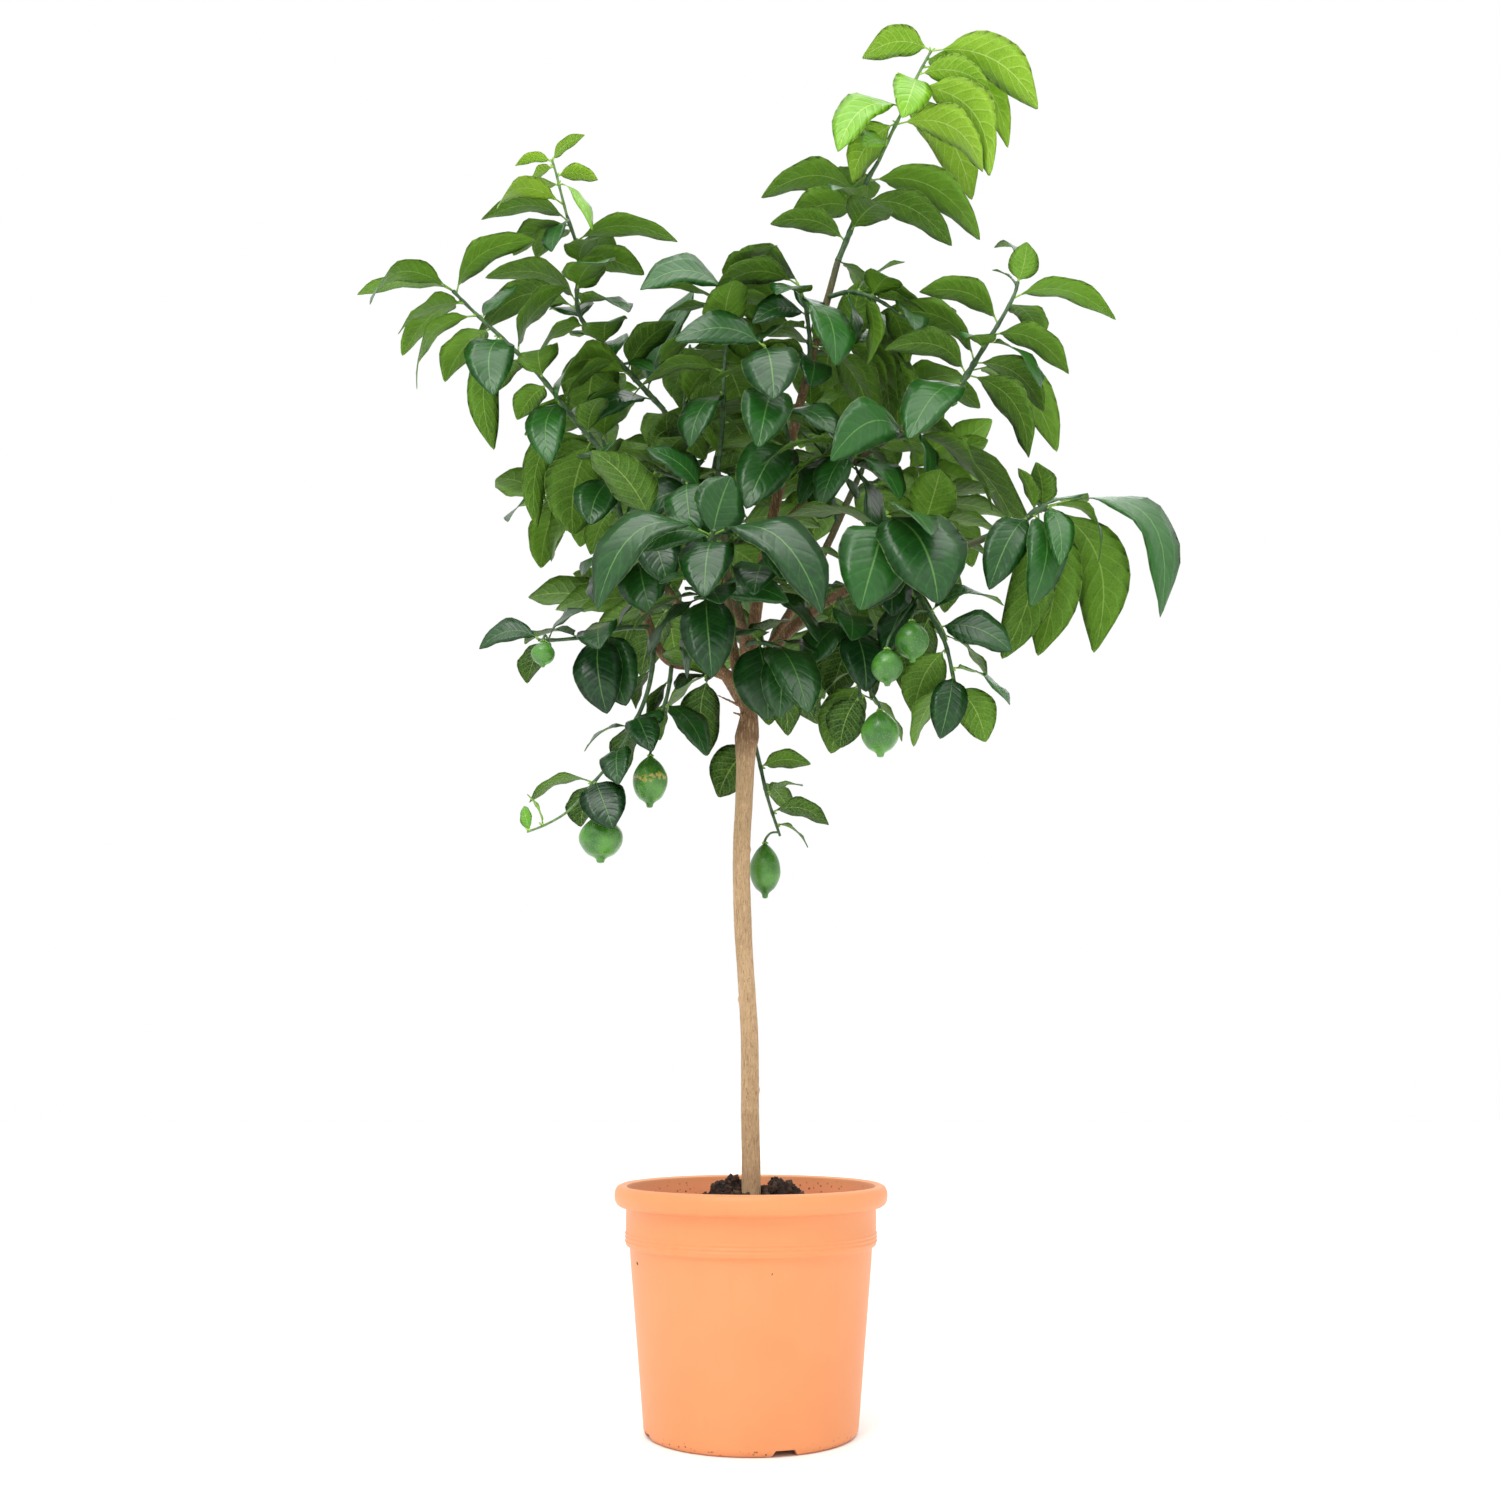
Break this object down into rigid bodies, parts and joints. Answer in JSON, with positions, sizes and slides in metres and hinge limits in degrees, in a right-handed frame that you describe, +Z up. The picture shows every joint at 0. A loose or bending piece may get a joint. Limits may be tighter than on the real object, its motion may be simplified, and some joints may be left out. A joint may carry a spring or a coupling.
{
  "type": "potted lemon tree",
  "caption": "Lemon tree grown as a grafted standard: bare trunk, round leafy crown with hanging green fruit, rooted in peat in a tapered nursery pot.",
  "frame": {"origin": "on the floor under the middle of the pot, at the middle of its base", "axes": "+Z up along the trunk, +X to the right and -Y towards the viewer of the front"},
  "size_m": [0.7986, 0.5698, 1.3745],
  "materials": {
    "pot_plastic": "satin moulded terracotta-coloured plastic",
    "peat_soil": "damp fibrous peat, matt",
    "bark": "fine striated bark, matt",
    "leaf": "glossy dark green on top, paler and matt below",
    "young_leaf": "soft bright green, satin",
    "lemon_peel": "finely pitted unripe green peel, satin"
  },
  "bodies": {
    "root": {"pot": "pot_plastic", "soil": "peat_soil", "trunk": "bark", "shoot_leader": "leaf", "shoot_leader_tip": "young_leaf", "shoot_right_top": "leaf", "shoot_right_spur": "leaf", "shoot_right_inner": "leaf", "shoot_right_mid": "leaf", "shoot_left_main": "leaf", "shoot_left_back": "leaf", "shoot_left_tip": "young_leaf", "shoot_centre_left": "leaf", "shoot_centre_front": "leaf", "shoot_centre_top": "leaf", "shoot_centre_right": "leaf", "shoot_left_inner": "leaf", "shoot_front_big": "leaf", "shoot_front_low": "leaf", "shoot_front_right": "leaf", "shoot_right_front": "leaf", "shoot_right_low": "leaf", "shoot_right_hang": "leaf", "shoot_left_low": "leaf", "shoot_fork_low": "leaf", "shoot_left_fruiting": "leaf", "shoot_left_hang": "leaf", "shoot_left_hang_tip": "young_leaf", "shoot_trunk_hang": "leaf", "back_right_high": "leaf", "back_right_out": "leaf", "back_right_low": "leaf", "back_mid_high": "leaf", "back_left_high": "leaf", "back_left_out": "leaf", "back_left_low": "leaf", "back_left_far": "leaf", "back_centre_high": "leaf", "back_centre_far": "leaf", "back_centre_low": "leaf", "inner_right": "leaf", "inner_left": "leaf", "inner_right_low": "leaf", "inner_high": "leaf", "inner_left_high": "leaf", "front_middle": "leaf", "front_left": "leaf", "lemon_right_a": "lemon_peel", "lemon_right_b": "lemon_peel", "lemon_right_low": "lemon_peel", "lemon_left_large": "lemon_peel", "lemon_left_low": "lemon_peel", "lemon_left_small": "lemon_peel", "lemon_trunk": "lemon_peel"}
  },
  "joints": []
}
